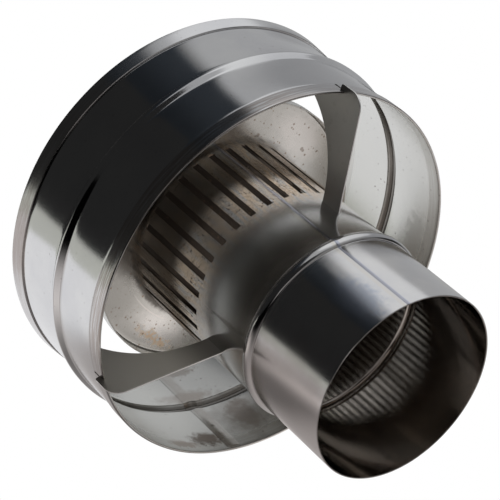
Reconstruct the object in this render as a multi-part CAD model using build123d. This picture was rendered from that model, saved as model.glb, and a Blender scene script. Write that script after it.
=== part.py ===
from build123d import *
from math import degrees
import os

# A rain cap for a round flue. A slotted pipe carries a flat cap on its end, and three plates hold a
# wide open drum, the wind band, around the slots. All of it is thin stainless sheet, welded.
# Millimetres. The origin is the centre of the pipe's mouth, and Z runs up the pipe towards the cap.

# The flue pipe
pipe_radius = 60.0
pipe_length = 184.0
pipe_sheet = 0.8
pipe_bead_height = 66.0
pipe_bead_width = 7.5
pipe_bead_rise = 2.2

# The weld along the pipe
seam_angle = 308.0
seam_width = 1.2
seam_rise = 0.2

# The ring of slots near the top of the pipe
slot_count = 32
slot_width = 3.9
slot_length = 62.0
slot_top_margin = 4.0
seam_to_slot = 4.35

# Rolled beads and folded hems, as shares of their width, rise and sheet
bead_flank_share = 0.17
bead_crown_share = 0.09
bead_shoulder_share = 0.84
hem_fold_share = 0.6

# The flat cap on the end of the pipe
cap_radius = 91.0
cap_sheet = 0.8
cap_skirt = 9.0
cap_bend = 1.2

# The wind band around the slots
band_radius = 124.0
band_length = 98.0
band_sheet = 0.8
band_below_slots = -2.0
band_bead_width = 8.0
band_bead_rise = 2.4
hem_depth = 10.0

# The lap seam of the wind band
lap_angle = 143.75
lap_width = 9.6
lap_inset = 2.5

# The plates that hold the wind band, and their hooks through its rim
arm_count = 3
arm_first_angle = 90.0
arm_sheet = 1.0
arm_root_width = 15.5
arm_root_drop = 10.5
arm_top_margin = 3.0
arm_top_land = 5.5
arm_edge_sag = 13.5
arm_corner_drop = 15.0
arm_corner_radius = 11.0
hook_reach = 2.5
hook_height = 4.0
slit_height = 10.0
slit_clearance = 0.3

# Heights that follow from the sizes above
slot_high = pipe_length - slot_top_margin
slot_low = slot_high - slot_length
band_low = slot_low - band_below_slots
band_high = band_low + band_length
band_bead_height = band_low + band_length / 2
band_inside = band_radius - band_sheet
hem_radius = band_radius + band_sheet


def arc_angle(length, radius):
    """Degrees that a length spans on a circle of this radius."""
    return degrees(length / radius)


def bead(radius, height, width, rise):
    """Points up the wall of an outward rolled bead: foot, flank, crown and down again."""
    flank = width * bead_flank_share
    crown = width * bead_crown_share
    shoulder = radius + rise * bead_shoulder_share
    return [
        (radius, height - width / 2),
        (shoulder, height - flank),
        (radius + rise, height - crown),
        (radius + rise, height + crown),
        (shoulder, height + flank),
        (radius, height + width / 2),
    ]


def half_section(points):
    return make_face(Plane.XZ * Polyline(*points, close=True))


def tube_section(inner, sheet, low, high, height, width, rise):
    """Half section of a thin tube whose wall swells outward in one bead."""
    outer = inner + sheet
    outside = [(outer, low), *bead(outer, height, width, rise), (outer, high)]
    inside = [(inner, low), *bead(inner, height, width, rise), (inner, high)]
    return half_section(outside + inside[::-1])


def turned(section, span=360.0, start=0.0):
    """Turn a half section about the pipe's axis."""
    return Rot(0, 0, start) * revolve(section, Axis.Z, span)


def pipe_section(inner, sheet, low):
    return tube_section(
        inner, sheet, low, pipe_length, pipe_bead_height, pipe_bead_width, pipe_bead_rise
    )


def slots():
    """Cutters for the slots, the first one just past the weld."""
    first = seam_angle + arc_angle(seam_to_slot, pipe_radius)
    cutter = Pos(pipe_radius, 0, (slot_low + slot_high) / 2) * Box(
        pipe_radius, slot_width, slot_length
    )
    pitch = 360 / slot_count
    return [Rot(0, 0, first + pitch * k) * cutter for k in range(slot_count)]


def flue_pipe():
    inner = pipe_radius - pipe_sheet
    wall = turned(pipe_section(inner, pipe_sheet, 0))
    span = arc_angle(seam_width, pipe_radius)
    weld = turned(
        pipe_section(inner + pipe_sheet / 2, pipe_sheet / 2 + seam_rise, seam_width),
        span,
        seam_angle - span / 2,
    )
    return wall + weld - slots()


def cap_disc():
    """Flat plate with its rim bent down round the pipe's end."""
    low = pipe_length - cap_skirt
    top = pipe_length + cap_sheet
    inner = cap_radius - cap_sheet
    bend = cap_bend + cap_sheet
    section = half_section(
        [
            (0, pipe_length),
            (inner - cap_bend, pipe_length),
            (inner, pipe_length - cap_bend),
            (inner, low),
            (cap_radius, low),
            (cap_radius, top - bend),
            (cap_radius - bend, top),
            (0, top),
        ]
    )
    return turned(section)


def hem(rim, up):
    """Points of a rim where the sheet folds back outward, from the inside to the step."""
    fold = band_sheet * hem_fold_share
    return [
        (band_inside, rim + up * fold),
        (band_inside + fold, rim),
        (hem_radius - fold, rim),
        (hem_radius, rim + up * fold),
        (hem_radius, rim + up * hem_depth),
        (band_radius, rim + up * hem_depth),
    ]


def band_wall():
    outside = bead(band_radius, band_bead_height, band_bead_width, band_bead_rise)
    inside = bead(band_inside, band_bead_height, band_bead_width, band_bead_rise)
    rims = hem(band_low, 1) + outside + hem(band_high, -1)[::-1]
    return turned(half_section(rims + inside[::-1]))


def band_lap():
    """The end of the band's sheet that lies inside the other end, between the rims."""
    span = arc_angle(lap_width, band_radius)
    section = tube_section(
        band_inside - band_sheet,
        band_sheet,
        band_low + lap_inset,
        band_high - lap_inset,
        band_bead_height,
        band_bead_width,
        band_bead_rise,
    )
    return turned(section, span, lap_angle - span / 2)


def slits():
    """Cutters for the slits in the lower rim, one for each arm."""
    width = arm_sheet + 2 * slit_clearance
    cutter = Pos(band_radius, 0, band_low) * Box(band_radius, width, 2 * slit_height)
    return [Rot(0, 0, angle) * cutter for angle in arm_angles()]


def wind_band():
    return band_wall() + band_lap() - slits()


def arm_angles():
    return [arm_first_angle + 360 / arm_count * k for k in range(arm_count)]


def arm_outline():
    """The plate's outline, with the distance from the axis across and the height up."""
    root_high = slot_low - arm_root_drop
    root_low = root_high - arm_root_width
    root = pipe_radius - pipe_sheet
    hook_out = hem_radius + hook_reach
    hook_top = band_low + hook_height
    top = band_bead_height - band_bead_width / 2 - arm_top_margin
    land = band_inside - arm_top_land
    corner = (hook_out, band_low - arm_corner_drop)
    middle = Vector((root + land) / 2, (root_high + top) / 2)
    across = Vector(top - root_high, root - land).normalized() * arm_edge_sag
    sag = middle + across
    outline = [
        Polyline(
            (root, root_high),
            (root, root_low),
            corner,
            (hook_out, hook_top),
            (band_inside, hook_top),
            (band_inside, top),
            (land, top),
        ),
        ThreePointArc((land, top), (sag.X, sag.Y), (root, root_high)),
    ]
    face = make_face(outline)
    return fillet(face.vertices().sort_by_distance(corner)[0], arm_corner_radius)


def arms():
    """Flat plates on edge, trimmed to the pipe and to the wind band's wall."""
    blank = extrude(Plane.XZ * arm_outline(), arm_sheet / 2, both=True)
    blank = blank - Cylinder(pipe_radius, 2 * pipe_length)
    above_hook = Pos(0, 0, (hook_height + band_length) / 2 + band_low + hook_height) * (
        Cylinder(2 * band_radius, band_length + hook_height)
        - Cylinder(band_inside, band_length + hook_height)
    )
    plate = blank - above_hook
    return [Rot(0, 0, angle) * plate for angle in arm_angles()]


os.makedirs("parts", exist_ok=True)
export_step(flue_pipe(), "parts/flue_pipe.step")
export_step(cap_disc(), "parts/cap_disc.step")
export_step(wind_band(), "parts/wind_band.step")
for number, arm in enumerate(arms(), 1):
    export_step(arm, f"parts/arm_{number}.step")
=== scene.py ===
from math import acos, cos, degrees, exp, pi, radians, sin

import bpy
from mathutils import Matrix, Vector


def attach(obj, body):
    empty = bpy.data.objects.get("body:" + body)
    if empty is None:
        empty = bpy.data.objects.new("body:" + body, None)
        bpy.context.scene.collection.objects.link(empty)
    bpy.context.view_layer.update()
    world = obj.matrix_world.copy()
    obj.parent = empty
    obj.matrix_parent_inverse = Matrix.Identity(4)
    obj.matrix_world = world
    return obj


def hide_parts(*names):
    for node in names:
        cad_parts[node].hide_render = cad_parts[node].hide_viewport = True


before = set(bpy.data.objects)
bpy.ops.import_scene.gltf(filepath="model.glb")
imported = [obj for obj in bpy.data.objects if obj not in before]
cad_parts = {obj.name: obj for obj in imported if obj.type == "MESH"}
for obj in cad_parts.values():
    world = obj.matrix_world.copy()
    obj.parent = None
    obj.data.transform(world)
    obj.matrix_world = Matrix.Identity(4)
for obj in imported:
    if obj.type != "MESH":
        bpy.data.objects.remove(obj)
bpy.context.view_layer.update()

# The flue pipe, the part that everything else is welded to. It is stainless sheet rolled into a tube
# and butt welded along one side, with a rolled bead that stops it in the flue below. A ring of slots
# is cut near its top, and the sheet there is browned by hot flue gas. Sizes are in millimetres.
mm = 0.001
pipe_radius = 60.0
pipe_inside = 59.2
pipe_top = 184.0
pipe_bead_height, pipe_bead_width, pipe_bead_rise = 66.0, 7.5, 2.2
slot_low, slot_high = 118.0, 180.0
slot_width = 3.9
slot_count = 32
slot_pitch = 360 / slot_count
slot_half = degrees(slot_width / 2 / pipe_radius)
weld_angle = 308.0
weld_to_slot = 4.35
first_slot = weld_angle + degrees(weld_to_slot / pipe_radius)
weld_half = degrees(0.68 / pipe_radius)
weld_rise = 0.2


class Wire:
    """A socket of a finish. Sums on wires add Math nodes, and node() adds any other kind of node."""

    def __init__(self, tree, socket):
        self.tree = tree
        self.socket = socket

    def node(self, kind, inputs, out=0, **settings):
        made = self.tree.nodes.new("ShaderNode" + kind)
        for key, value in settings.items():
            setattr(made, key, value)
        for key, value in inputs.items():
            if isinstance(value, Wire):
                self.tree.links.new(value.socket, made.inputs[key])
            else:
                made.inputs[key].default_value = value
        return Wire(self.tree, made.outputs[out] if made.outputs else None)

    def maths(self, operation, *terms):
        return self.node("Math", dict(enumerate(terms)), operation=operation)

    def __add__(self, other):
        return self.maths("ADD", self, other)

    def __sub__(self, other):
        return self.maths("SUBTRACT", self, other)

    def __rsub__(self, other):
        return self.maths("SUBTRACT", other, self)

    def __mul__(self, other):
        return self.maths("MULTIPLY", self, other)

    def __truediv__(self, other):
        return self.maths("DIVIDE", self, other)

    def __pow__(self, other):
        return self.maths("POWER", self, other)

    __radd__ = __add__
    __rmul__ = __mul__

    def ease(self, low, high):
        """0 below low, 1 above high and a soft step between; the other way round if high is less."""
        inputs = {"Value": self, "From Min": low, "From Max": high}
        return self.node("MapRange", inputs, interpolation_type="SMOOTHSTEP")

    def over(self, colour, paint):
        """This mask lays the paint over the colour."""
        inputs = {0: self, 6: colour, 7: paint}
        return self.node("Mix", inputs, out=2, data_type="RGBA")


class Finish:
    """One material, in the part's own frame in metres. Two masks tell a turned sheet's sides apart."""

    def __init__(self, name):
        self.material = bpy.data.materials.new(name)
        self.material.use_nodes = True
        self.tree = self.material.node_tree
        self.tree.nodes.clear()
        start = Wire(self.tree, None)
        self.place = start.node("TexCoord", {}, out="Object")
        self.x = self.place.node("SeparateXYZ", {0: self.place}, out=0)
        self.y = self.place.node("SeparateXYZ", {0: self.place}, out=1)
        self.height = self.place.node("SeparateXYZ", {0: self.place}, out=2)
        level = self.place.node("VectorMath", {0: self.place, 1: (1, 1, 0)}, operation="MULTIPLY")
        facing = start.node("TexCoord", {}, out="Normal")
        facing = facing.node("VectorMath", {0: facing, 1: level}, out="Value", operation="DOT_PRODUCT")
        self.inner_side = facing.ease(0.002, -0.002)
        self.outer_side = 1 - self.inner_side

    def noise(self, scale, detail=2.0, rough=0.5, shift=0.0):
        """Cloudy noise from 0 to 1. Scale is in waves a metre across, and up where two are given."""
        across, up = scale if isinstance(scale, tuple) else (scale, scale)
        inputs = {0: self.place, 1: (across, across, up), 2: (shift, shift, shift)}
        placed = self.place.node("VectorMath", inputs, operation="MULTIPLY_ADD")
        wanted = {"Vector": placed, "Scale": 1.0, "Detail": detail, "Roughness": rough}
        return self.place.node("TexNoise", wanted)

    def specks(self, scale, size, shift=0.0):
        """A mask of small round specks, one to a cell and most of them too small to show."""
        inputs = {0: self.place, 1: (scale, scale, scale), 2: (shift, shift, shift)}
        placed = self.place.node("VectorMath", inputs, operation="MULTIPLY_ADD")
        cells = {"Vector": placed, "Scale": 1.0}
        near = self.place.node("TexVoronoi", cells)
        dice = self.place.node("SeparateColor", {0: self.place.node("TexVoronoi", cells, out=1)})
        return (near - dice ** 3 * size).ease(size * 0.25, 0.0)

    def patch(self, angle, height, across, up, ragged=0.0, shift=0.0):
        """A soft oval on a turned wall. The angle is in degrees, the height and half sizes in mm."""
        ahead = self.x * cos(radians(angle)) + self.y * sin(radians(angle))
        along = self.y * cos(radians(angle)) - self.x * sin(radians(angle))
        along = along / (across * mm)
        rise = (self.height - height * mm) / (up * mm)
        off = (along * along + rise * rise) ** 0.5
        if ragged:
            off = off + (self.noise(2400 / min(across, up), 4.0, 0.6, shift) - 0.5) * ragged
        return off.ease(1.0, 0.35) * ahead.ease(0.0, 0.01)

    def done(self, colour, roughness, bump, depth):
        """Join the finish up. Bump is a height from 0 to 1, and depth is its full height in metres."""
        raised = self.place.node("Bump", {"Height": bump, "Strength": 1.0, "Distance": depth})
        sockets = {
            "Base Color": colour,
            "Metallic": 1.0,
            "Roughness": roughness,
            "Normal": raised,
        }
        shader = self.place.node("BsdfPrincipled", sockets)
        shader.node("OutputMaterial", {"Surface": shader})
        return self.material


def sheet_metal(name, angles, inside, outside, material, is_open=None, swell=None, closed=True):
    """A turned sheet as a closed mesh. Inside and outside are its two faces, as (radius, height) points
    in pairs, and angles are the columns in degrees. Cells that is_open names are cut out, and swell
    moves the sheet outward."""
    columns, rows = len(angles), len(inside)
    numbers, points, faces = {}, [], []

    def cell(i, k):
        if not 0 <= k < rows - 1:
            return False
        if not closed and not 0 <= i < columns - 1:
            return False
        if is_open is None:
            return True
        i = i % columns
        turn = (angles[(i + 1) % columns] - angles[i]) % 360
        middle = (outside[k][1] + outside[k + 1][1]) / 2
        return not is_open((angles[i] + turn / 2) % 360, middle)

    def corner(i, k, line):
        radius, height = line[k]
        i = i % columns if closed else i
        key = (id(line), k) if radius == 0 else (id(line), k, i)
        if key not in numbers:
            if swell and radius:
                radius += swell(angles[i], height, line is outside)
            turn = radians(angles[i])
            numbers[key] = len(points)
            points.append((radius * cos(turn) * mm, radius * sin(turn) * mm, height * mm))
        return numbers[key]

    def face(*corners):
        loop = [c for n, c in enumerate(corners) if c != corners[n - 1]]
        if len(loop) > 2:
            faces.append(loop)

    for i in range(columns if closed else columns - 1):
        for k in range(rows - 1):
            if not cell(i, k):
                continue
            a, b = (i, k), (i + 1, k)
            c, d = (i + 1, k + 1), (i, k + 1)
            face(*[corner(*p, outside) for p in (a, b, c, d)])
            face(*[corner(*p, inside) for p in (d, c, b, a)])
            below, after, above, before = (i, k - 1), (i + 1, k), (i, k + 1), (i - 1, k)
            for p, q, beyond in ((a, b, below), (b, c, after), (c, d, above), (d, a, before)):
                on_axis = inside[p[1]][0] == 0 and inside[q[1]][0] == 0
                if not cell(*beyond) and not on_axis:
                    rim = (corner(*q, outside), corner(*p, outside), corner(*p, inside))
                    face(*rim, corner(*q, inside))
    mesh = bpy.data.meshes.new(name)
    mesh.from_pydata(points, [], faces)
    mesh.materials.append(material)
    mesh.polygons.foreach_set("use_smooth", [True] * len(faces))
    mesh.set_sharp_from_angle(angle=radians(38))
    piece = bpy.data.objects.new(name, mesh)
    bpy.context.collection.objects.link(piece)
    return piece


def half_round(height, width, rise, steps=28):
    """A half round bead as (height, lift) pairs, with feet that run softly into the wall."""
    soft_foot = 1.25
    turns = [pi * n / steps for n in range(steps + 1)]
    return [(height - cos(turn) * width / 2, rise * abs(sin(turn)) ** soft_foot) for turn in turns]


def evenly(start, end, step):
    """Heights between two ends, both left out, no further apart than step."""
    count = max(1, round((end - start) / step))
    return [start + (end - start) * n / count for n in range(1, count)]


def pipe_lines():
    """The pipe's two faces from the mouth up, with the mouth's edges broken."""
    broken_edge, edge_height = 0.16, 0.18
    bead_reach = pipe_bead_width / 2 + 0.45
    heights = [(0.0, 0.0), (edge_height, 0.0)]
    heights += [(z, 0.0) for z in evenly(edge_height, pipe_bead_height - bead_reach, 5)]
    heights += half_round(pipe_bead_height, pipe_bead_width, pipe_bead_rise)
    heights += [(z, 0.0) for z in evenly(pipe_bead_height + bead_reach, slot_low, 5)] + [(slot_low, 0.0)]
    heights += [(z, 0.0) for z in evenly(slot_low, slot_high, 6)] + [(slot_high, 0.0), (pipe_top, 0.0)]
    edge = {0.0: broken_edge}
    inner = [(pipe_inside + lift + edge.get(z, 0), z) for z, lift in heights]
    outer = [(pipe_radius + lift - edge.get(z, 0), z) for z, lift in heights]
    return inner, outer


def pipe_columns():
    """Columns that fall on the edges of every slot, with more of them on the weld."""
    turns = []
    bar = slot_pitch - 2 * slot_half
    for k in range(slot_count):
        middle = first_slot + k * slot_pitch
        turns += [middle + slot_half * share for share in (-1, -1 / 3, 1 / 3, 1)]
        turns += [middle + slot_half + bar * n / 6 for n in range(1, 6)]
    turns = [t for t in turns if abs((t - weld_angle + 180) % 360 - 180) > 1.0]
    turns += [weld_angle + off for off in (-0.8, -0.5, -0.25, 0, 0.25, 0.5, 0.8)]
    return sorted(t % 360 for t in turns)


def in_slot(angle, height):
    turn = (angle - first_slot + slot_pitch / 2) % slot_pitch - slot_pitch / 2
    return abs(turn) < slot_half and slot_low < height < slot_high


def pipe_swell(angle, height, is_outside):
    """The slight unevenness of hand rolled sheet, and the raised line of the weld."""
    wave = 0.05 * sin(radians(3 * angle + 40)) * sin(height / 21)
    wave += 0.03 * sin(radians(7 * angle) + height / 17)
    off = (angle - weld_angle + 180) % 360 - 180
    on_weld = abs(off) < weld_half and is_outside
    line = weld_rise * max(0.0, cos(radians(90 * off / weld_half))) if on_weld else 0.0
    return wave * min(1.0, height / 8, abs(pipe_top - height) / 8) + line


pipe = Finish("flue pipe steel")
clouds = pipe.noise(38, 4.0, 0.6)
fine = pipe.noise(420, 3.0, 0.6)
grain = pipe.noise((60, 2600), 3.0, 0.6)
inner_side, outer_side = pipe.inner_side, pipe.outer_side
heat = pipe.height.ease(0.100, 0.128) * (0.35 + clouds * 0.8)
colour = clouds.ease(0.3, 0.7).over((0.66, 0.66, 0.67, 1), (0.73, 0.72, 0.71, 1))
# Painted shade: a darker patch on the outside, just below the bead.
painted_shade_below_bead = pipe.patch(338, 56, 36, 18, 0.3) * outer_side
colour = (painted_shade_below_bead * 0.5).over(colour, (0.32, 0.32, 0.33, 1))
# Painted shade: a darker grey patch low on the outside.
flank = pipe.patch(190, 20, 20, 44, 0.4) * outer_side
colour = (flank * 0.5).over(colour, (0.46, 0.45, 0.45, 1))
# Painted shade over a slight film: a large patch low on the pipe is darkened to brown grey and made a
# little rougher.
film_and_painted_shade = pipe.patch(216, 28, 52, 70, 0.7, 9.0)
colour = (film_and_painted_shade * 0.7).over(colour, (0.46, 0.42, 0.41, 1))
streaks = pipe.noise((520, 70), 3.0, 0.6, 8.0)
colour = (heat * streaks.ease(0.34, 0.58)).over(colour, (0.97, 0.75, 0.54, 1))
colour = (heat * fine.ease(0.52, 0.68) * 0.7).over(colour, (0.50, 0.38, 0.28, 1))
# Painted shade: above about 140 mm the outside is darkened, most round 262 degrees and a little away
# from 238 degrees.
painted_shade_far_side = (1 - pipe.patch(238, 60, 150, 1000)) * 0.35
painted_shade_under_cap = (painted_shade_far_side + pipe.patch(262, 150, 66, 70, 0.3) * 0.85) * pipe.height.ease(0.136, 0.150)
colour = (painted_shade_under_cap * outer_side).over(colour, (0.20, 0.19, 0.18, 1))
lines = pipe.noise((1300, 30), 2.0, 0.5, 11.0)
side_bars = pipe.patch(205, 155, 36, 62, 0.4) * pipe.height.ease(0.121, 0.130) * outer_side
colour = (side_bars * lines.ease(0.40, 0.50) * 0.85).over(colour, (0.11, 0.11, 0.11, 1))
speckle = pipe.noise(1100, 3.0, 0.7, 6.0)
colour = (heat * speckle.ease(0.50, 0.58) * 0.7).over(colour, (0.34, 0.26, 0.19, 1))
pits = pipe.specks(520, 0.40)
colour = (pits * pipe.height.ease(0.112, 0.122) * 0.8).over(colour, (0.16, 0.11, 0.08, 1))
weld_tint_half = 1.6
for off, tint in ((0.3, (0.42, 0.44, 0.54, 1)), (-2.2, (0.70, 0.67, 0.62, 1))):
    turn = radians(weld_angle) + off / pipe_radius
    beside = pipe.y * cos(turn) - pipe.x * sin(turn)
    ahead = (pipe.x * cos(turn) + pipe.y * sin(turn)).ease(0.0, 0.01)
    line = (beside * beside).ease((weld_tint_half * mm) ** 2, 0.0) * ahead
    colour = (line * (0.35 + clouds * 0.6)).over(colour, tint)
mottle = pipe.patch(291, 22, 14, 26, 1.1, 3.0)
colour = (mottle * 0.6).over(colour, (0.42, 0.48, 0.60, 1))
soot = pipe.noise((90, 30), 3.0, 0.6, 5.0).ease(0.35, 0.7)
colour = (inner_side * 0.6).over(colour, soot.over((0.58, 0.51, 0.44, 1), (0.40, 0.34, 0.29, 1)))
colour = (inner_side * pipe.height.ease(0.106, 0.122) * 0.5).over(colour, (0.08, 0.07, 0.06, 1))
rough = 0.10 + clouds * 0.05 + film_and_painted_shade * 0.05 + heat * 0.08 + mottle * 0.10 - inner_side * 0.05
pipe_finish = pipe.done(colour, rough, grain * 0.5 + fine * 0.3 + clouds * 0.2, 0.00003)

inner_line, outer_line = pipe_lines()
flue_pipe = sheet_metal(
    "flue_pipe_sheet", pipe_columns(), inner_line, outer_line, pipe_finish, in_slot, pipe_swell
)
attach(flue_pipe, "root")
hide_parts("flue_pipe")

# The arms, three flat plates cut from thicker stainless sheet and stood on edge. Each is welded to the
# pipe by its root and passes out through a slit in the wind band's rim, where its end hooks the band.
# The plates are dull from pickling, with bright sheared edges.
arm_half = 0.5
arm_angles = (90.0, 210.0, 330.0)
arm_low, arm_high = 92.0, 162.0
arm_root_high = 107.5
arm_land = 117.7
arm_sag = 13.5
arm_foot = 59.6
hook_out, hook_top = 127.3, 124.0
arm_corner = (hook_out, 105.0)
arm_corner_radius = 11.0
band_inside = 123.2


def rounded(before, corner, after, radius, steps=10):
    """Points of a round of this radius where two straight edges meet."""
    corner = Vector(corner)
    back = (Vector(before) - corner).normalized()
    on = (Vector(after) - corner).normalized()
    half = acos(back.dot(on)) / 2
    middle = corner + (back + on).normalized() * (radius / sin(half))
    reach = radius * cos(half) / sin(half)
    start = corner + back * reach - middle
    sweep = start.angle_signed(corner + on * reach - middle)
    turns = [-sweep * n / steps for n in range(steps + 1)]
    return [tuple(middle + Matrix.Rotation(turn, 2) @ start) for turn in turns]


def bowed(start, end, sag, steps=24):
    """Points of an arc from start to end that bows to the left of its chord by the sag."""
    start, end = Vector(start), Vector(end)
    chord = (end - start).length
    radius = (chord * chord / 4 + sag * sag) / (2 * sag)
    across = Vector(((start - end).y, (end - start).x)).normalized()
    middle = (start + end) / 2 + across * (sag - radius)
    first, last = start - middle, end - middle
    sweep = acos(first.normalized().dot(last.normalized()))
    if (Matrix.Rotation(sweep, 2) @ first - last).length > 0.01:
        sweep = -sweep
    turns = [sweep * n / steps for n in range(steps + 1)]
    return [tuple(middle + Matrix.Rotation(turn, 2) @ first) for turn in turns]


arm = Finish("arm plate steel")
dull_and_painted_shade = arm.noise(150, 4.0, 0.65)
smear = arm.noise(22, 3.0, 0.5, 2.0)
colour = smear.ease(0.3, 0.7).over((0.39, 0.38, 0.36, 1), (0.47, 0.45, 0.42, 1))
colour = (dull_and_painted_shade.ease(0.55, 0.75) * 0.4).over(colour, (0.29, 0.265, 0.24, 1))
# Painted light: the arm at 210 degrees is made much paler and warmer.
painted_light_on_arm = arm.x.ease(-0.03, -0.06) * arm.y.ease(0.0, -0.02)
colour = (painted_light_on_arm * 0.9).over(colour, (0.84, 0.79, 0.72, 1))
# Painted shade: each plate is darkened towards its root at the pipe.
root = ((arm.x * arm.x + arm.y * arm.y) ** 0.5).ease(0.092, 0.064)
colour = (root * 0.75).over(colour, (0.15, 0.14, 0.13, 1))
arm_finish = arm.done(colour, 0.34 + smear * 0.14, dull_and_painted_shade * 0.6 + arm.noise(1400, 2.0) * 0.4, 0.00003)

edge = Finish("arm plate edge")
shear = edge.noise((1500, 300), 2.0)
colour = shear.over((0.80, 0.79, 0.77, 1), (0.92, 0.91, 0.89, 1))
edge_finish = edge.done(colour, 0.22 + shear * 0.15, shear, 0.00005)

outline = [(arm_foot, arm_root_high), (arm_foot, arm_low)]
outline += rounded((pipe_radius, arm_low), arm_corner, (hook_out, hook_top), arm_corner_radius)
outline += [(hook_out, hook_top - 1.0), (hook_out - 0.4, hook_top - 0.2), (hook_out - 1.2, hook_top)]
outline += [(band_inside, hook_top), (band_inside, arm_high), (arm_land, arm_high)]
outline += bowed((arm_land, arm_high), (pipe_inside, arm_root_high), arm_sag)[1:-1]
for number, angle in enumerate(arm_angles, 1):
    turn = Matrix.Rotation(radians(angle), 3, "Z")
    points = [turn @ Vector((r, side * arm_half, z)) * mm for side in (-1, 1) for r, z in outline]
    count = len(outline)
    faces = [list(range(count)), list(range(2 * count - 1, count - 1, -1))]
    faces += [[n, n + count, (n + 1) % count + count, (n + 1) % count] for n in range(count)]
    mesh = bpy.data.meshes.new(f"arm_plate_{number}")
    mesh.from_pydata([tuple(p) for p in points], [], faces)
    mesh.materials.append(arm_finish)
    mesh.materials.append(edge_finish)
    for polygon in mesh.polygons[2:]:
        polygon.material_index = 1
    plate = bpy.data.objects.new(f"arm_plate_{number}", mesh)
    bpy.context.collection.objects.link(plate)
    bevel = plate.modifiers.new("sheared edge", "BEVEL")
    bevel.width = 0.14 * mm
    bevel.segments = 2
    bevel.limit_method = "ANGLE"
    bevel.angle_limit = radians(50)
    bevel.material = 1
    mesh.polygons.foreach_set("use_smooth", [True] * len(mesh.polygons))
    mesh.set_sharp_from_angle(angle=radians(30))
    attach(plate, "root")
    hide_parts(f"arm_{number}")

# The wind band, a wide open drum round the slots that keeps the wind off them. It is one strip of
# polished stainless sheet, lapped and spot welded where its ends meet, with a rolled bead round its
# middle and both rims folded back outward. Three slits in the lower rim take the arms.
band_radius = 124.0
band_low, band_high = 120.0, 218.0
band_bead_height, band_bead_width, band_bead_rise = 169.0, 8.0, 2.4
hem_radius = 124.8
hem_depth = 10.0
slit_half = 0.37
slit_height = 10.0
bead_foot_low, bead_foot_high = 164.5, 173.5


def rolled_bead(height, width, rise, steps=28):
    """A rolled bead as (height, lift) pairs: straight flanks, and soft bends at its feet and crown."""
    soft, flank = 0.16, 0.75
    reach = (1 + flank * soft) * width / 2
    pairs = []
    for n in range(steps + 1):
        off = -reach + 2 * reach * n / steps
        climb = (1 - abs(off) * 2 / width) / flank
        if climb < soft:
            lift = (climb + soft) ** 2 / (4 * soft)
        elif climb > 1 - soft:
            lift = 1 - max(0.0, 1 + soft - climb) ** 2 / (4 * soft)
        else:
            lift = climb
        pairs.append((height + off, rise * lift))
    return pairs


def band_lines():
    """The band's section from the lower rim up: a folded hem, the wall with its bead, the other hem."""
    middle = (band_inside + hem_radius) / 2
    fold = hem_radius - middle
    inner, outer = [], []
    for n in range(1, 7):
        turn = radians(90 * n / 6)
        z = fold * (1 - cos(turn))
        inner.append((middle - fold * sin(turn), band_low + z))
        outer.append((middle + fold * sin(turn), band_low + z))
    for z in evenly(fold, hem_depth - 0.3, 2.5):
        inner.append((band_inside, band_low + z))
        outer.append((hem_radius, band_low + z))
    step = [(hem_radius, -0.15), (hem_radius - 0.15, 0.0), (band_radius - 0.02, 0.05)]
    step += [(band_radius - 0.1, 0.15), (band_radius - 0.1, 0.3), (band_radius, 0.5)]
    for radius, z in step:
        inner.append((band_inside, band_low + hem_depth + z))
        outer.append((radius, band_low + hem_depth + z))
    low = inner[:], outer[:]
    for z in evenly(band_low + hem_depth + 0.5, bead_foot_low, 2.5):
        inner.append((band_inside, z))
        outer.append((band_radius, z))
    lower_half = inner[len(low[0]):], outer[len(low[1]):]
    for z, lift in rolled_bead(band_bead_height, band_bead_width, band_bead_rise):
        inner.append((band_inside + lift, z))
        outer.append((band_radius + lift, z))
    mirror = band_low + band_high
    for line, half, end in ((inner, lower_half[0], low[0]), (outer, lower_half[1], low[1])):
        line += [(radius, mirror - z) for radius, z in half[::-1] + end[::-1]]
    return inner, outer


def band_columns():
    turns = [n * 0.75 for n in range(480)]
    for angle in arm_angles:
        turns = [t for t in turns if abs(t - angle) > 0.6]
        turns += [angle - slit_half, angle + slit_half]
    return sorted(turns)


def in_slit(angle, height):
    in_reach = height < band_low + slit_height
    return in_reach and any(abs(angle - a) < slit_half for a in arm_angles)


def band_swell(angle, height, is_outside):
    """The wall swells towards the bead from below and towards the upper rim, and is not quite round."""
    turn = radians(angle)
    bead_low = band_bead_height - band_bead_width / 2
    bead_high = band_bead_height + band_bead_width / 2
    wave = 0.05 * sin(5 * turn + 0.8) + 0.04 * sin(11 * turn + height / 14)
    below = -0.5 * (1 - exp((min(height, bead_low) - bead_low) / 6.5))
    above = 0.5 * max(0.0, (height - bead_high) / (band_high - bead_high)) ** 2
    lean = 0.09 * max(0.0, height - band_high + hem_depth) if is_outside else 0.0
    return wave + below + above + lean - 0.09


band = Finish("wind band steel")
clouds = band.noise(26, 4.0, 0.6)
fine = band.noise(380, 3.0, 0.6)
grain = band.noise((50, 2400), 3.0, 0.6)
streaks = band.noise((40, 900), 3.0, 0.6, 4.0)
off_middle = band.height - band_bead_height * mm
from_middle = off_middle.maths("ABSOLUTE", off_middle)
hems = from_middle.ease(0.0382, 0.0394)
inner_side, outer_side = band.inner_side, band.outer_side
colour = clouds.ease(0.3, 0.7).over((0.70, 0.70, 0.71, 1), (0.77, 0.77, 0.765, 1))
browned = 1 - band.patch(318, 214, 110, 25)
browned = browned * (0.5 + band.height.ease(0.17, 0.16) * 0.4)
colour = (hems * browned * streaks.ease(0.30, 0.60)).over(colour, (0.46, 0.41, 0.38, 1))
colour = (hems * band.patch(229, 213, 34, 14, 0.3) * 0.6).over(colour, (0.36, 0.30, 0.27, 1))
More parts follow.
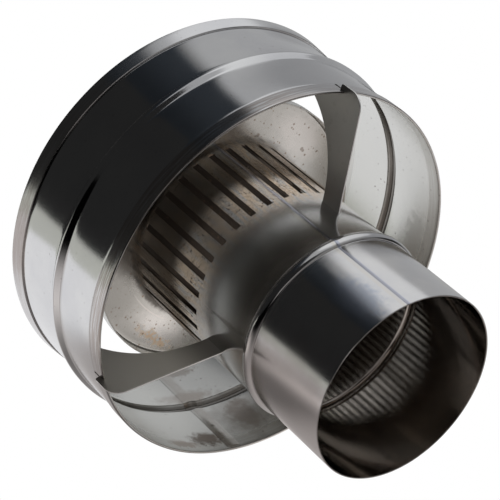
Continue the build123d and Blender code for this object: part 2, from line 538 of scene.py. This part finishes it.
# Painted shade: three darker grey patches on the outside of the wall.
dull_and_painted_shade = band.patch(329, 142, 60, 42) * 0.75 + band.patch(206, 140, 46, 40, 0.3) * 0.6
dull_and_painted_shade = dull_and_painted_shade + band.patch(342, 200, 30, 16, 0.2) * 0.7
colour = (dull_and_painted_shade * outer_side).over(colour, (0.42, 0.42, 0.43, 1))
colour = (inner_side * 0.7).over(colour, (0.71, 0.71, 0.67, 1))
# Painted light: a near white pool on the inside of the wall.
colour = (inner_side * band.patch(168, 168, 70, 80) * 0.9).over(colour, (0.97, 0.965, 0.92, 1))
# Painted shade: a dark line in the step at each hem's edge, darker on the upper hem.
painted_shade_hem_step = from_middle.ease(0.0378, 0.0383) * from_middle.ease(0.0391, 0.0386) * outer_side
colour = (painted_shade_hem_step * (band.height.ease(0.16, 0.18) * 0.45 + 0.3)).over(colour, (0.12, 0.11, 0.11, 1))
pits = band.specks(330, 0.20, 7.0)
colour = (pits * (0.25 + inner_side * 0.45)).over(colour, (0.30, 0.27, 0.25, 1))
lap_angle = 143.75
for angle, height, across, up, dark, tint in (
    (132, 147, 14, 20, 0.75, (0.24, 0.19, 0.16, 1)),
    (132, 147, 30, 30, 0.45, (0.34, 0.31, 0.28, 1)),
    (150, 133, 17, 9, 0.90, (0.17, 0.13, 0.10, 1)),
    (138, 205, 15, 7, 0.55, (0.30, 0.25, 0.21, 1)),
    (141, 177, 18, 9, 0.50, (0.40, 0.34, 0.29, 1)),
    (144.3, 144.7, 1.6, 1.6, 0.95, (0.08, 0.07, 0.07, 1)),
    (144.1, 204.9, 1.6, 1.6, 0.95, (0.08, 0.07, 0.07, 1)),
    (161, 128, 16, 5, 0.55, (0.40, 0.29, 0.22, 1)),
    (146, 178, 26, 7, 0.35, (0.45, 0.38, 0.33, 1)),
    (118, 190, 18, 9, 0.25, (0.50, 0.44, 0.38, 1)),
    (52, 138, 26, 12, 0.35, (0.30, 0.29, 0.27, 1)),
    (96, 128, 30, 6, 0.25, (0.45, 0.40, 0.36, 1)),
):
    stain = band.patch(angle, height, across, up, ragged=1.3, shift=angle)
    colour = (stain * inner_side * dark).over(colour, tint)
lap = band.patch(lap_angle, band_bead_height, 6.2, 300) * inner_side
colour = (lap * (0.3 + fine * 0.5)).over(colour, (0.50, 0.46, 0.42, 1))
# Painted shade: a dark line along the hollow of the bead on the inside.
painted_shade_groove = from_middle.ease(0.0040, 0.0022) * inner_side
colour = (painted_shade_groove * (0.55 + clouds * 0.5)).over(colour, (0.13, 0.115, 0.10, 1))
rough = 0.09 + clouds * 0.06 + hems * 0.06 + inner_side * 0.13
up_hem = band.height - (band_high - hem_depth) * mm
lean = up_hem.maths("MAXIMUM", up_hem, 0.0) * outer_side * band.x.ease(-0.02, 0.03)
lean_gain = 8000
relief = grain * 0.4 + fine * 0.3 + clouds * 0.3 + lean * lean_gain
band_finish = band.done(colour, rough, relief, 0.00003)

inner_line, outer_line = band_lines()
wind_band = sheet_metal(
    "wind_band_sheet", band_columns(), inner_line, outer_line, band_finish, in_slit, band_swell
)
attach(wind_band, "root")
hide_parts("wind_band")

# The lap seam, where one end of the band's strip lies inside the other and is spot welded to it. It is
# the same polished sheet, rolled with the same bead, and it stops a little short of both rims. Its sides
# are pressed down to the wall.
lap_width = 9.6
lap_low, lap_high = 122.5, 215.5
lap_half = degrees(lap_width / 2 / band_radius)
lap_face, lap_back = band_inside - 0.75, band_inside - 0.02
lap_columns = 8


def lap_swell(angle, height, is_outside):
    """The lap's inner face runs out to thin edges at both sides."""
    flat_half, thinning = 0.5, 0.6
    past_flat = max(0.0, abs(angle - lap_angle) - flat_half) / (lap_half - flat_half)
    return band_swell(angle, height, is_outside) + (0.0 if is_outside else thinning * past_flat)


lap_rows = [(lap_low, 0.0)] + [(z, 0.0) for z in evenly(lap_low, bead_foot_low, 5)]
lap_rows += rolled_bead(band_bead_height, band_bead_width, band_bead_rise)
lap_rows += [(z, 0.0) for z in evenly(bead_foot_high, lap_high, 5)] + [(lap_high, 0.0)]
lap_seam = sheet_metal(
    "wind_band_lap",
    [lap_angle + lap_half * (2 * n / lap_columns - 1) for n in range(lap_columns + 1)],
    [(lap_face + lift, z) for z, lift in lap_rows],
    [(lap_back + lift, z) for z, lift in lap_rows],
    band_finish,
    swell=lap_swell,
    closed=False,
)
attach(lap_seam, "root")

# The cap, a flat round plate pressed from sheet with its rim turned down all round, welded on the
# pipe's end. It keeps the rain out. Its underside is speckled by the flue gas that leaves the slots.
cap_radius = 91.0
cap_inside = 90.2
cap_under = 184.0
cap_top = 184.8
cap_skirt_low = 175.0
bend_inside, bend_outside = 1.2, 2.0


def cap_lines():
    """The cap's upper and lower face from the middle out, round the bend and down the turned rim."""
    ring_step, rings, bend_steps, broken_edge = 5.8, 15, 8, 0.15
    under, top = [(0, cap_under)], [(0, cap_top)]
    for n in range(1, rings + 1):
        under.append((n * ring_step, cap_under))
        top.append((n * ring_step, cap_top))
    for n in range(bend_steps + 1):
        turn = radians(90 * n / bend_steps)
        for line, radius, height, bend in (
            (under, cap_inside, cap_under, bend_inside),
            (top, cap_radius, cap_top, bend_outside),
        ):
            line.append((radius - bend + bend * sin(turn), height - bend + bend * cos(turn)))
    for z in (180.0, 178.0, 176.5, cap_skirt_low + broken_edge):
        under.append((cap_inside, z))
        top.append((cap_radius, z))
    under.append((cap_inside + broken_edge, cap_skirt_low))
    top.append((cap_radius - broken_edge, cap_skirt_low))
    return top, under


cap = Finish("cap plate steel")
clouds = cap.noise(30, 4.0, 0.6)
fine = cap.noise(300, 4.0, 0.65)
under = cap.height.ease(0.18445, 0.18435)
colour = clouds.ease(0.3, 0.7).over((0.70, 0.69, 0.68, 1), (0.78, 0.77, 0.75, 1))
colour = (under * (0.35 + fine * 0.6)).over(colour, (0.71, 0.71, 0.66, 1))


def blot(x, y, across, along, ragged, shift):
    """A soft oval on the flat underside, at x and y in millimetres and with its two half sizes."""
    side = (cap.x - x * mm) / (across * mm)
    ahead = (cap.y - y * mm) / (along * mm)
    off = (side * side + ahead * ahead) ** 0.5 + (cap.noise(200, 4.0, 0.65, shift) - 0.5) * ragged
    return off.ease(1.0, 0.3) * under


ring = (cap.x * cap.x + cap.y * cap.y) ** 0.5
over_pipe = ring.ease(0.059, 0.057) * under
colour = (over_pipe * 0.8).over(colour, (0.34, 0.27, 0.21, 1))
# Painted shade: inside the pipe, half of the underside is made nearly black.
colour = (over_pipe * cap.y.ease(-0.006, -0.020) * 0.9).over(colour, (0.06, 0.05, 0.05, 1))
fringe = (ring + (fine - 0.5) * 0.004).ease(0.0648, 0.0612) * under
fringe = fringe * (0.85 - cap.x.ease(0.030, 0.055) * 0.45)
colour = fringe.over(colour, (0.07, 0.06, 0.05, 1))
# Painted shade and painted highlights: the grey ovals darken the underside, and the two near white ones
# lighten it.
colour = (blot(-48, -46, 22, 26, 0.8, 1.0) * 0.7).over(colour, (0.25, 0.24, 0.22, 1))
colour = (blot(-74, 20, 15, 34, 0.5, 2.0) * 0.95).over(colour, (0.97, 0.96, 0.93, 1))
colour = (blot(76, 4, 20, 36, 0.5, 6.0) * 0.85).over(colour, (0.96, 0.93, 0.89, 1))
colour = (blot(50, -50, 20, 18, 0.6, 7.0) * 0.5).over(colour, (0.36, 0.33, 0.30, 1))
colour = (blot(-70, -30, 22, 26, 0.6, 5.0) * 0.5).over(colour, (0.46, 0.46, 0.43, 1))
off_rub = ring - 0.0672
rub = (off_rub * off_rub).ease(0.0000003, 0.0) * blot(-64, 0, 16, 26, 0.4, 3.0)
colour = (rub * 0.6).over(colour, (0.95, 0.92, 0.88, 1))
rust = blot(-79.5, 18, 5, 22, 2.2, 4.0)
colour = (rust * fine.ease(0.42, 0.5)).over(colour, (0.98, 0.80, 0.60, 1))
colour = (cap.specks(420, 0.30) * 0.7).over(colour, (0.34, 0.25, 0.18, 1))
colour = (cap.specks(170, 0.20, 3.0) * 0.6).over(colour, (0.30, 0.24, 0.19, 1))
rough = 0.17 + clouds * 0.1 + fine * 0.06 + rust * 0.15
cap_finish = cap.done(colour, rough, fine * 0.6 + clouds * 0.4, 0.00004)

inner_line, outer_line = cap_lines()
cap_plate = sheet_metal(
    "cap_plate", [n * 2.0 for n in range(180)], inner_line, outer_line, cap_finish
)
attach(cap_plate, "root")
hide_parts("cap_disc")

# The camera looks at the part as it lies on its side, so in the part's own frame it looks up past the
# spigot from below the mouth. Its place, tilt and lens are fitted to the rims and beads of the real cap.
# The studio's frame is the camera's: x to its right, y away from it and z up.
camera_data = bpy.data.cameras.new("camera")
camera_data.lens = 133.93
camera_data.sensor_width = 36.0
camera_data.clip_end = 20.0
camera = bpy.data.objects.new("camera", camera_data)
bpy.context.collection.objects.link(camera)
away = Vector((-0.0181971, 0.74965742, 0.66157586)).normalized()
up = Vector((0.76625786, -0.41459824, 0.4908739)).normalized()
right = away.cross(up)
studio = Matrix((right, away, up)).transposed().to_4x4()
camera.matrix_world = (
    Matrix.Translation((0.02275928, -0.84633991, -0.594))
    @ Matrix((right, up, -away)).transposed().to_4x4()
)
bpy.context.scene.camera = camera
bpy.context.scene.view_settings.view_transform = "Standard"

# The floor under the pipe's mouth is for the camera alone, and clear from below. What polished sheet
# reflects is a photographer's table: the white top that the part lies on, a low card on the left, a wide
# soft lamp above, and a dark room that is paler ahead and on the right. Only reflections see these.
table_level = -0.0535
lamp_level = 0.5
room_radius = 9.0


def glow(paint, colour, strength):
    """A finish that only shines, by its colour times its strength."""
    shine = paint.place.node("VectorMath", {0: colour, "Scale": strength}, operation="SCALE")
    sockets = {
        "Base Color": (0, 0, 0, 1),
        "Specular IOR Level": 0.0,
        "Emission Color": shine,
        "Emission Strength": 1.0,
    }
    shader = shine.node("BsdfPrincipled", sockets)
    shader.node("OutputMaterial", {"Surface": shader})


def stage_mesh(name, points, faces, paint):
    mesh = bpy.data.meshes.new(name)
    mesh.from_pydata(points, [], faces)
    mesh.materials.append(paint.material)
    thing = bpy.data.objects.new(name, mesh)
    bpy.context.collection.objects.link(thing)
    thing.visible_diffuse = False
    thing.visible_shadow = False
    return thing


def mirrored_only(thing):
    """Place a thing in the studio's frame, where only reflections see it."""
    thing.matrix_world = studio
    thing.visible_camera = False
    thing.visible_transmission = False


def level_sheet(left, right, near, far, level):
    """The corners of a level sheet, by its sides."""
    return [(left, near, level), (right, near, level), (right, far, level), (left, far, level)]


floor_paint = Finish("pale floor")
pale = floor_paint.place.node("Emission", {"Color": (0.78, 0.78, 0.78, 1), "Strength": 1.0})
clear = pale.node("BsdfTransparent", {})
below = pale.node("NewGeometry", {}, out="Backfacing")
seen = pale.node("MixShader", {0: below, 1: pale, 2: clear})
seen.node("OutputMaterial", {"Surface": seen})
floor = stage_mesh("floor", level_sheet(-4, 4, -4, 4, 0), [(0, 1, 2, 3)], floor_paint)
floor.visible_glossy = False

table_paint = Finish("white table top")
# The table top is not lit: it glows, and its light and the part's shadow on it are painted.
near = ((table_paint.x + 0.185) ** 2 + (table_paint.y - 0.08) ** 2) ** 0.5
behind = ((table_paint.x + 0.15) ** 2 + (table_paint.y - 0.12) ** 2) ** 0.5
bright = table_paint.y.ease(0.13, 0.20) * behind.ease(0.15, 0.30)
lit = 0.48 - near.ease(0.115, 0.03) * 0.28 + bright * 0.38
spot = ((table_paint.x + 0.045) ** 2 + (table_paint.y - 0.165) ** 2) ** 0.5
lit = lit + spot.ease(0.055, 0.02) * 0.45
corner = ((table_paint.x + 0.27) ** 2 + (table_paint.y + 0.02) ** 2) ** 0.5
lit = lit + corner.ease(0.13, 0.04) * 0.28
front = table_paint.y.ease(-0.20, -0.34) * table_paint.x.ease(-0.13, -0.05)
lit = lit * table_paint.y.ease(-0.13, 0.03) + front * 0.28
shade = bright.ease(1.0, 0.0).over((0.98, 0.98, 1.0, 1), (1.0, 0.94, 0.915, 1))
glow(table_paint, shade, lit)
table_corners = level_sheet(-1.7, 1.3, -1.2, 1.6, table_level)
mirrored_only(stage_mesh("table", table_corners, [(0, 1, 2, 3)], table_paint))

card_paint = Finish("low card")
glow(card_paint, (0.86, 0.87, 0.80), 0.62)
card_corners = [(-7.0, -2.0, -0.9), (-7.0, 7.0, -0.9), (-7.0, 7.0, 0.39), (-7.0, -2.0, 0.39)]
mirrored_only(stage_mesh("low_card", card_corners, [(0, 1, 2, 3)], card_paint))

lamp_paint = Finish("soft lamp")
core = ((lamp_paint.x - 0.17) ** 2 + lamp_paint.y ** 2) ** 0.5
bright = 0.42 + core.ease(0.285, 0.235) * 0.36
bowed_edge = (lamp_paint.y - 0.05) ** 2
bowed_edge = lamp_paint.x + bowed_edge.maths("MINIMUM", bowed_edge, 0.003) * 12
skirt = lamp_paint.x.ease(-0.32, -0.18) * 0.05 + bowed_edge.ease(-0.148, -0.092) * 0.95
tone = skirt.ease(0.3, 0.04).over((0.97, 0.98, 1.0, 1), (0.72, 0.84, 1.0, 1))
glow(lamp_paint, tone, skirt * bright + 0.018)
lamp_corners = level_sheet(-0.34, 0.9, -0.5, 1.6, lamp_level)
mirrored_only(stage_mesh("soft_lamp", lamp_corners, [(0, 1, 2, 3)], lamp_paint))

room_paint = Finish("dark room")
ahead = room_paint.x.ease(0.5, 2.0) * room_paint.y.ease(4.0, 6.5)
side = room_paint.x.ease(3.0, 6.0) * room_paint.y.ease(2.0, -1.0)
glow(room_paint, (1.0, 1.0, 1.0), ahead * 0.4 + side * 0.2 + 0.018)
room_rings, room_turns = 12, 48
lowest, highest = -60, 90
room_points, room_faces = [], []
for n in range(room_rings + 1):
    rise = radians(lowest + (highest - lowest) * n / room_rings)
    level, across = room_radius * sin(rise), room_radius * cos(rise)
    for m in range(room_turns):
        turn = radians(360 / room_turns * m)
        room_points.append((across * sin(turn), across * cos(turn), level))
        here, beside = n * room_turns + m, n * room_turns + (m + 1) % room_turns
        if n < room_rings:
            room_faces.append([here, beside, beside + room_turns, here + room_turns])
mirrored_only(stage_mesh("dark_room", room_points, room_faces, room_paint))

# The surround is white to the camera, in reflections and through clear things, and nearly dark to all
# else. The lamp overhead lights dull things alone, and polished sheet doesn't mirror it.
world = bpy.data.worlds.new("white surround")
bpy.context.scene.world = world
world.use_nodes = True
world.node_tree.nodes.clear()
start = Wire(world.node_tree, None)
from_camera = start.node("LightPath", {}, out="Is Camera Ray")
glossy = start.node("LightPath", {}, out="Is Glossy Ray")
through = start.node("LightPath", {}, out="Is Transmission Ray")
shown = glossy.maths("MAXIMUM", glossy.maths("MAXIMUM", from_camera, glossy), through)
light = shown.over((0.02, 0.02, 0.02, 1), (1, 1, 1, 1))
sky = light.node("Background", {"Color": light, "Strength": 1.0})
sky.node("OutputWorld", {"Surface": sky})

lamp_data = bpy.data.lights.new("overhead", "AREA")
lamp_data.shape = "RECTANGLE"
lamp_data.size = 1.0
lamp_data.size_y = 1.2
lamp_data.energy = 4.0
lamp = bpy.data.objects.new("overhead", lamp_data)
lamp.matrix_world = studio @ Matrix.Translation((0.25, 0.3, 0.9))
lamp.visible_glossy = False
bpy.context.collection.objects.link(lamp)
